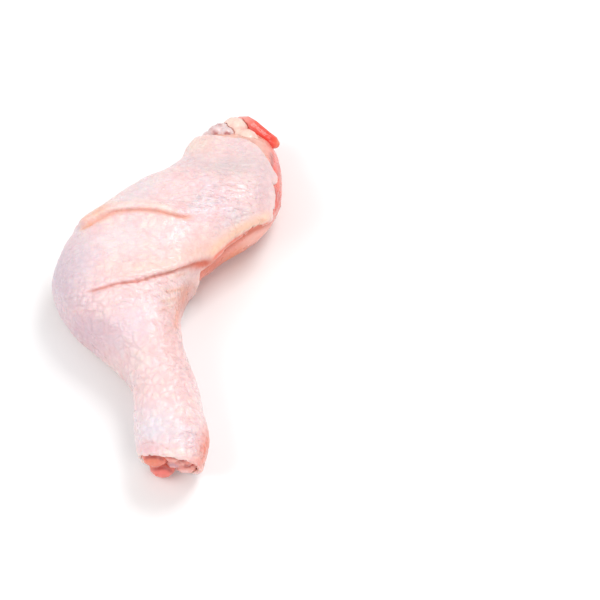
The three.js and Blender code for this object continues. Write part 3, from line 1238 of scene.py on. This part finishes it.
FLESH = Meat(
    node="flesh",
    finish=Finish(
        slot=Slot.FLESH,
        roughness=(0.22, 0.38),
        depth=1.6,
        scatter=0.3,
        coat=0.4,
        grains=(Grain(1.8, 0.22), Grain(0.7, 0.1)),
    ),
    voxel=0.8,
    rounds=6,
    beneath=("thigh_bone", "hip_fat", "hip_muscle"),
    base=seen(240, 138, 118),
    lump=0.5,
    lump_size=6.0,
    second=seen(232, 104, 86),
    patches=(
        Patch((275, 165), (8, 21), seen(252, 62, 40), 0.95),  # beside the skin's edge
        Patch((279, 203), (8, 22), seen(236, 66, 40), 0.9),  # the same, lower down
        Patch((256, 238), (28, 8), seen(255, 196, 182), 0.9, -30),  # below the rolled edge: light pink flesh, lightened as painted light on a slope that faces down
        Patch((236, 255), (16, 5), seen(244, 140, 92), 0.8, -34),  # the same, near the bend
        Patch((238, 138), (28, 7), seen(252, 206, 190), 0.95, 8),  # below the fat at the hip
        Patch((262, 152), (17, 6), seen(250, 194, 178), 0.85, 60),  # the same, further round
        Patch((203, 268), (16, 6), seen(214, 96, 56), 0.85, -20),  # painted shade deep in the bend, under the fold's overhang
        Patch((172, 466), (32, 12), seen(200, 62, 62), 0.95),  # at the hock's cut
    ),
    creases=(
        # painted shadow between the fat and the skin at the hip
        Crease(((232, 137), (240, 137), (247, 139), (253, 144), (259, 151)), depth=0.3,
               stain=DARK, stain_strength=0.3),
        # painted shade in the slits of the flesh beside the skin's edge
        Crease(((270, 150), (272, 160), (271, 172)), depth=0.7, stain=DARK, stain_strength=0.8),
        Crease(((275, 186), (274, 196), (272, 207)), depth=0.7, stain=DARK, stain_strength=0.7),
        Crease(((277, 160), (279, 170), (277, 180)), depth=0.5, stain=DARK, stain_strength=0.5),
        Crease(((276, 190), (280, 200), (278, 214)), depth=0.5, stain=DARK, stain_strength=0.5),
        Crease(((210, 264), (224, 251), (238, 240), (252, 231), (264, 226), (273, 221)), depth=0.5,
               stain=RUST, stain_strength=0.8, stain_width=2.4, ends=0.1),
        Crease(((236, 258), (248, 249), (262, 237), (272, 226)), depth=0.6, stain=BLUSH, stain_strength=0.6),
    ),
)

THIGH_BONE = Meat(
    node="thigh_bone",
    finish=Finish(
        slot=Slot.HIP_BONE,
        roughness=(0.22, 0.36),
        depth=0.5,
        scatter=0.2,
        coat=0.45,
        grains=(Grain(1.4, 0.14),),
    ),
    voxel=0.4,
    rounds=14,
    swell=0.5,
    base=seen(236, 212, 211),
    lump=0.5,
    lump_size=4.0,
    second=seen(226, 186, 188),
    creases=(
        # painted shade: dark red in the hollows of the joint's cartilage
        Crease(((212, 130), (215, 133), (219, 134)), depth=0.9, width=1.4, stain=DARK, stain_strength=0.7),
        Crease(((223, 135), (227, 133), (231, 136)), depth=1.0, width=1.6, stain=DARK, stain_strength=0.8),
        Crease(((214, 126), (218, 124), (223, 126)), depth=0.7, stain=DARK, stain_strength=0.45),
        Crease(((206, 131), (210, 129), (214, 130)), depth=0.5, stain=DARK, stain_strength=0.3),
    ),
)

SHANK_BONE = Meat(
    node="shank_bone",
    finish=Finish(
        slot=Slot.HOCK_BONE,
        roughness=(0.2, 0.34),
        depth=1.8,
        scatter=0.4,
        coat=0.45,
        grains=(Grain(1.4, 0.14),),
    ),
    voxel=0.4,
    rounds=14,
    swell=0.25,
    base=seen(244, 138, 120),
    second=seen(232, 100, 92),
    patches=(
        Patch((152, 462), (12, 6), seen(240, 140, 112), 0.9),  # the upper knob
        Patch((162, 473), (12, 5), seen(248, 132, 124), 0.9),  # the lower knob
    ),
    creases=(
        # painted shade: dark red in the gaps round the bone's knobs
        Crease(((141, 460), (146, 458), (153, 457), (160, 458), (165, 463)), depth=0.15, width=1.4, lip=0.0,
               stain=DARK, stain_strength=0.75),
        Crease(((148, 469), (156, 469), (164, 468), (171, 471), (175, 476)), depth=0.25, width=1.4, lip=0.0,
               stain=DARK, stain_strength=0.75),
    ),
)

HIP_FAT = Meat(
    node="hip_fat",
    finish=Finish(
        slot=Slot.FAT,
        roughness=(0.22, 0.38),
        depth=0.6,
        scatter=0.2,
        coat=0.35,
        grains=(Grain(1.8, 0.2),),
    ),
    voxel=0.4,
    rounds=24,
    swell=0.8,
    base=seen(252, 218, 204),
    lump=0.7,
    lump_size=4.0,
    second=seen(244, 186, 174),
    second_strength=0.6,
)

HIP_MUSCLE = Meat(
    node="hip_muscle",
    finish=Finish(
        slot=Slot.RED_MEAT,
        roughness=(0.18, 0.34),
        depth=0.5,
        scatter=0.15,
        coat=0.45,
        grains=(Grain(1.5, 0.2),),
    ),
    voxel=0.4,
    rounds=40,
    swell=0.8,
    base=seen(248, 84, 64),
    lump=0.6,
    second=seen(236, 58, 48),
    patches=(
        Patch((244, 119), (9, 6), seen(250, 168, 158), 0.9, 20),  # far end
        Patch((266, 141), (12, 6), seen(242, 58, 44), 0.9, 40),  # middle
        Patch((281, 143), (5, 6), seen(250, 150, 108), 0.7),  # near end
    ),
    creases=(
        # painted shade: dark red in the slits between the muscle's bundles
        Crease(((258, 136), (262, 142), (269, 149)), depth=0.6, stain=DARK, stain_strength=0.9),
        Crease(((243, 122), (251, 127), (258, 134)), depth=0.3, stain=DARK, stain_strength=0.3),
        Crease(((252, 119), (260, 127), (270, 136)), depth=0.3, width=1.4),
        Crease(((256, 125), (264, 133), (276, 142)), depth=0.3, width=1.4, stain=DARK, stain_strength=0.3),
    ),
)

SINEW = Meat(
    node="sinew",
    finish=Finish(
        slot=Slot.SINEW,
        roughness=(0.22, 0.38),
        depth=1.8,
        scatter=0.4,
        coat=0.4,
        grains=(Grain(1.4, 0.16),),
    ),
    voxel=0.4,
    rounds=14,
    swell=0.25,
    base=seen(250, 182, 170),
    lump=0.5,
    lump_size=3.5,
    second=seen(236, 128, 122),
    patches=(Patch((195, 462), (8, 5), seen(255, 150, 126), 0.8),),
    creases=(
        # painted shade: dark red in a gap between the tendons
        Crease(((163, 458), (169, 456), (178, 459), (188, 463)), depth=0.4, stain=DARK, stain_strength=0.7),
        Crease(((166, 466), (173, 465), (180, 468)), depth=0.4, stain=MAUVE, stain_strength=0.8),
        Crease(((174, 471), (182, 472), (191, 472)), depth=0.4, stain=ROSE, stain_strength=0.8),
        # painted shade: dark red in a deep gap between the tendons
        Crease(((183, 465), (187, 466), (192, 466)), depth=0.8, stain=DARK, stain_strength=0.9),
    ),
)


def main() -> None:
    """Builds the studio and dresses the leg, piece by piece."""
    logging.basicConfig(level=logging.INFO, format="%(name)s: %(message)s")
    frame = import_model()
    Studio().build()
    for part in (SKIN, FLESH, THIGH_BONE, SHANK_BONE, HIP_FAT, HIP_MUSCLE, SINEW):
        part.build(frame["nodes"])


if __name__ == "__main__":
    main()
